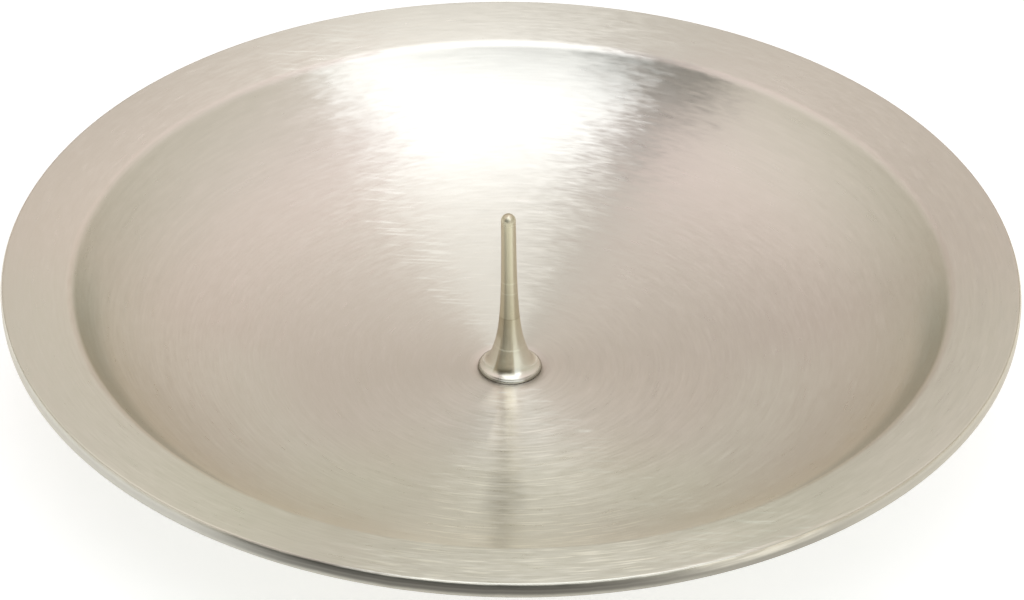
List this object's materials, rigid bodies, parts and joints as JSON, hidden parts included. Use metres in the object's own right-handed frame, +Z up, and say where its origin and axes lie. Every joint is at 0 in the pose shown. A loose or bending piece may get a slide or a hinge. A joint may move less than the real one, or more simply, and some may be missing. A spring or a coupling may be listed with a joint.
{
  "type": "pricket candle holder",
  "caption": "Round spun-metal candle plate: a shallow brushed bowl with a broad rim and turned-down lip, and a slim flared spike in the middle that holds a pillar candle.",
  "frame": {"origin": "on the table, under the middle of the dish", "axes": "+Z up along the spike, +X to the right and +Y away from the viewer of the picture"},
  "size_m": [0.14, 0.14, 0.0304],
  "materials": {
    "brushed_nickel": "satin nickel plating over spun brass, brushed in fine rings round the middle",
    "polished_nickel": "polished turned brass with thin nickel plating, slightly yellow, faint turning rings",
    "zinc_steel": "bright zinc-plated steel",
    "pad_rubber": "matt dark grey rubber"
  },
  "bodies": {
    "root": {"dish": "brushed_nickel", "pricket": "polished_nickel", "flat_washer": "zinc_steel", "spring_washer": "zinc_steel", "fixing_screw": "zinc_steel", "foot_pad_1": "pad_rubber", "foot_pad_2": "pad_rubber", "foot_pad_3": "pad_rubber"}
  },
  "joints": []
}
